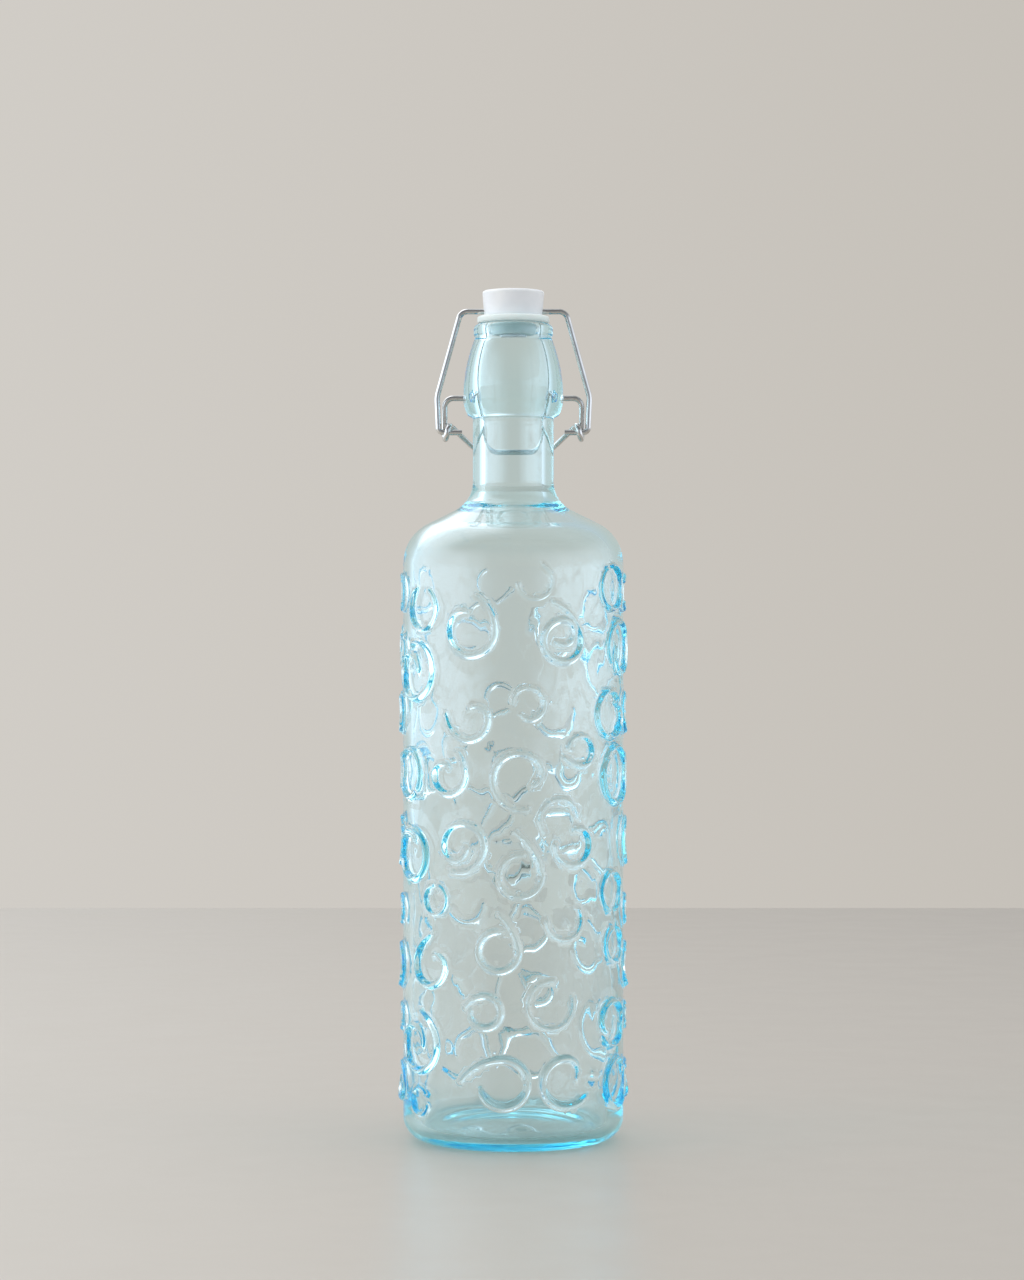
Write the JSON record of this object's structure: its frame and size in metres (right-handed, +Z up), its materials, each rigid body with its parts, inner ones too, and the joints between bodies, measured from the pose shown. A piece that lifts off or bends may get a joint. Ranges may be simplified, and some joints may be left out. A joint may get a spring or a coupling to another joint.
{
  "type": "swing-top bottle",
  "caption": "Clear aqua glass bottle with raised scrolls, a white plug, a rubber ring and a bent-wire toggle closure.",
  "frame": {"origin": "centre of the foot, on the surface that the bottle stands on", "axes": "+Z up along the bottle's axis; the closure's hinges run along X and the lever's bow hangs on the +Y side"},
  "size_m": [0.089, 0.089, 0.3272],
  "materials": {
    "aqua_glass": "clear pale aqua pressed glass, fire polished",
    "white_plastic": "white moulded plastic, soft sheen",
    "pale_rubber": "milky translucent soft rubber",
    "bright_wire": "bright drawn wire"
  },
  "bodies": {
    "bottle": {"glass_bottle": "aqua_glass"},
    "lever": {"lever_wire": "bright_wire"},
    "bail": {"bail_wire": "bright_wire"},
    "plug": {"stopper": "white_plastic", "seal_ring": "pale_rubber"}
  },
  "joints": [
    {"name": "lever_swing", "type": "hinge", "parent": "bottle", "child": "lever", "pos_m": [0, 0, 0.28577], "axis": [1, 0, 0], "range_deg": [0, 96]},
    {"name": "bail_swing", "type": "hinge", "parent": "lever", "child": "bail", "pos_m": [0, -0.00093, 0.2725], "axis": [1, 0, 0], "range_deg": [-76, 4]},
    {"name": "plug_swivel", "type": "hinge", "parent": "bail", "child": "plug", "pos_m": [0, 0, 0.31927], "axis": [1, 0, 0], "range_deg": [-31, 3]}
  ],
  "couplings": [
    {"joint": "bail_swing", "follows": "lever_swing", "ratio": -0.71567},
    {"joint": "plug_swivel", "follows": "lever_swing", "ratio": -0.28433}
  ]
}
